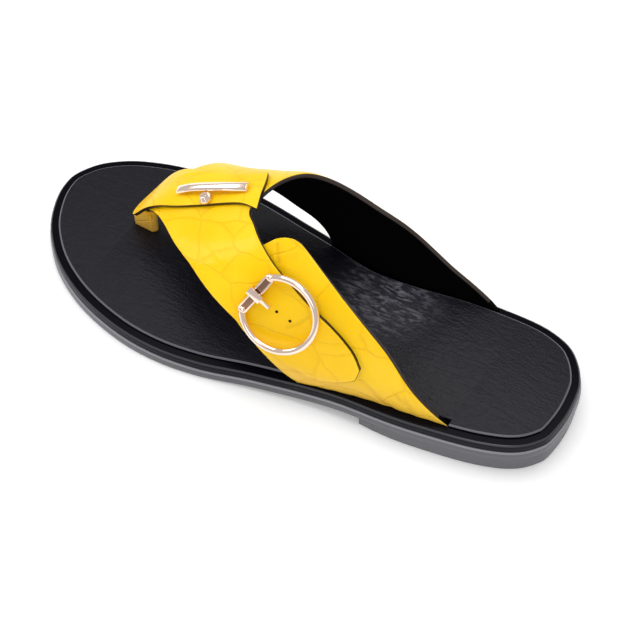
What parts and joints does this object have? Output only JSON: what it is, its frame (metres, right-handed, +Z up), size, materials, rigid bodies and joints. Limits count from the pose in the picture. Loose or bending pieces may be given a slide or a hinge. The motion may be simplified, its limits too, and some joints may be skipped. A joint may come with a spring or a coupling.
{
  "type": "leather thong sandal",
  "caption": "Low leather thong sandal for a left foot: wide buckled strap over the instep, toe post, thin sole on a low heel.",
  "frame": {"origin": "on the floor under the middle of the sole", "axes": "+X to the toe, +Y to the outer side of the foot, +Z up"},
  "size_m": [0.29, 0.1064, 0.0793],
  "materials": {
    "stack": "satin",
    "rubber": "satin",
    "board": "smooth, half gloss",
    "sock": "fine grain, half gloss",
    "strap": "pressed scales, half gloss",
    "post": "smooth, half gloss",
    "metal": "polished, warm tint"
  },
  "bodies": {
    "root": {"heel": "stack", "outsole": "rubber", "footbed": "board", "insole": "sock", "upper": "strap", "saddle": "strap", "toe_post": "post", "buckle_frame": "metal", "buckle_prong": "metal", "buckle_loop": "metal", "ornament_bar": "metal", "ornament_stud": "metal"}
  },
  "joints": []
}
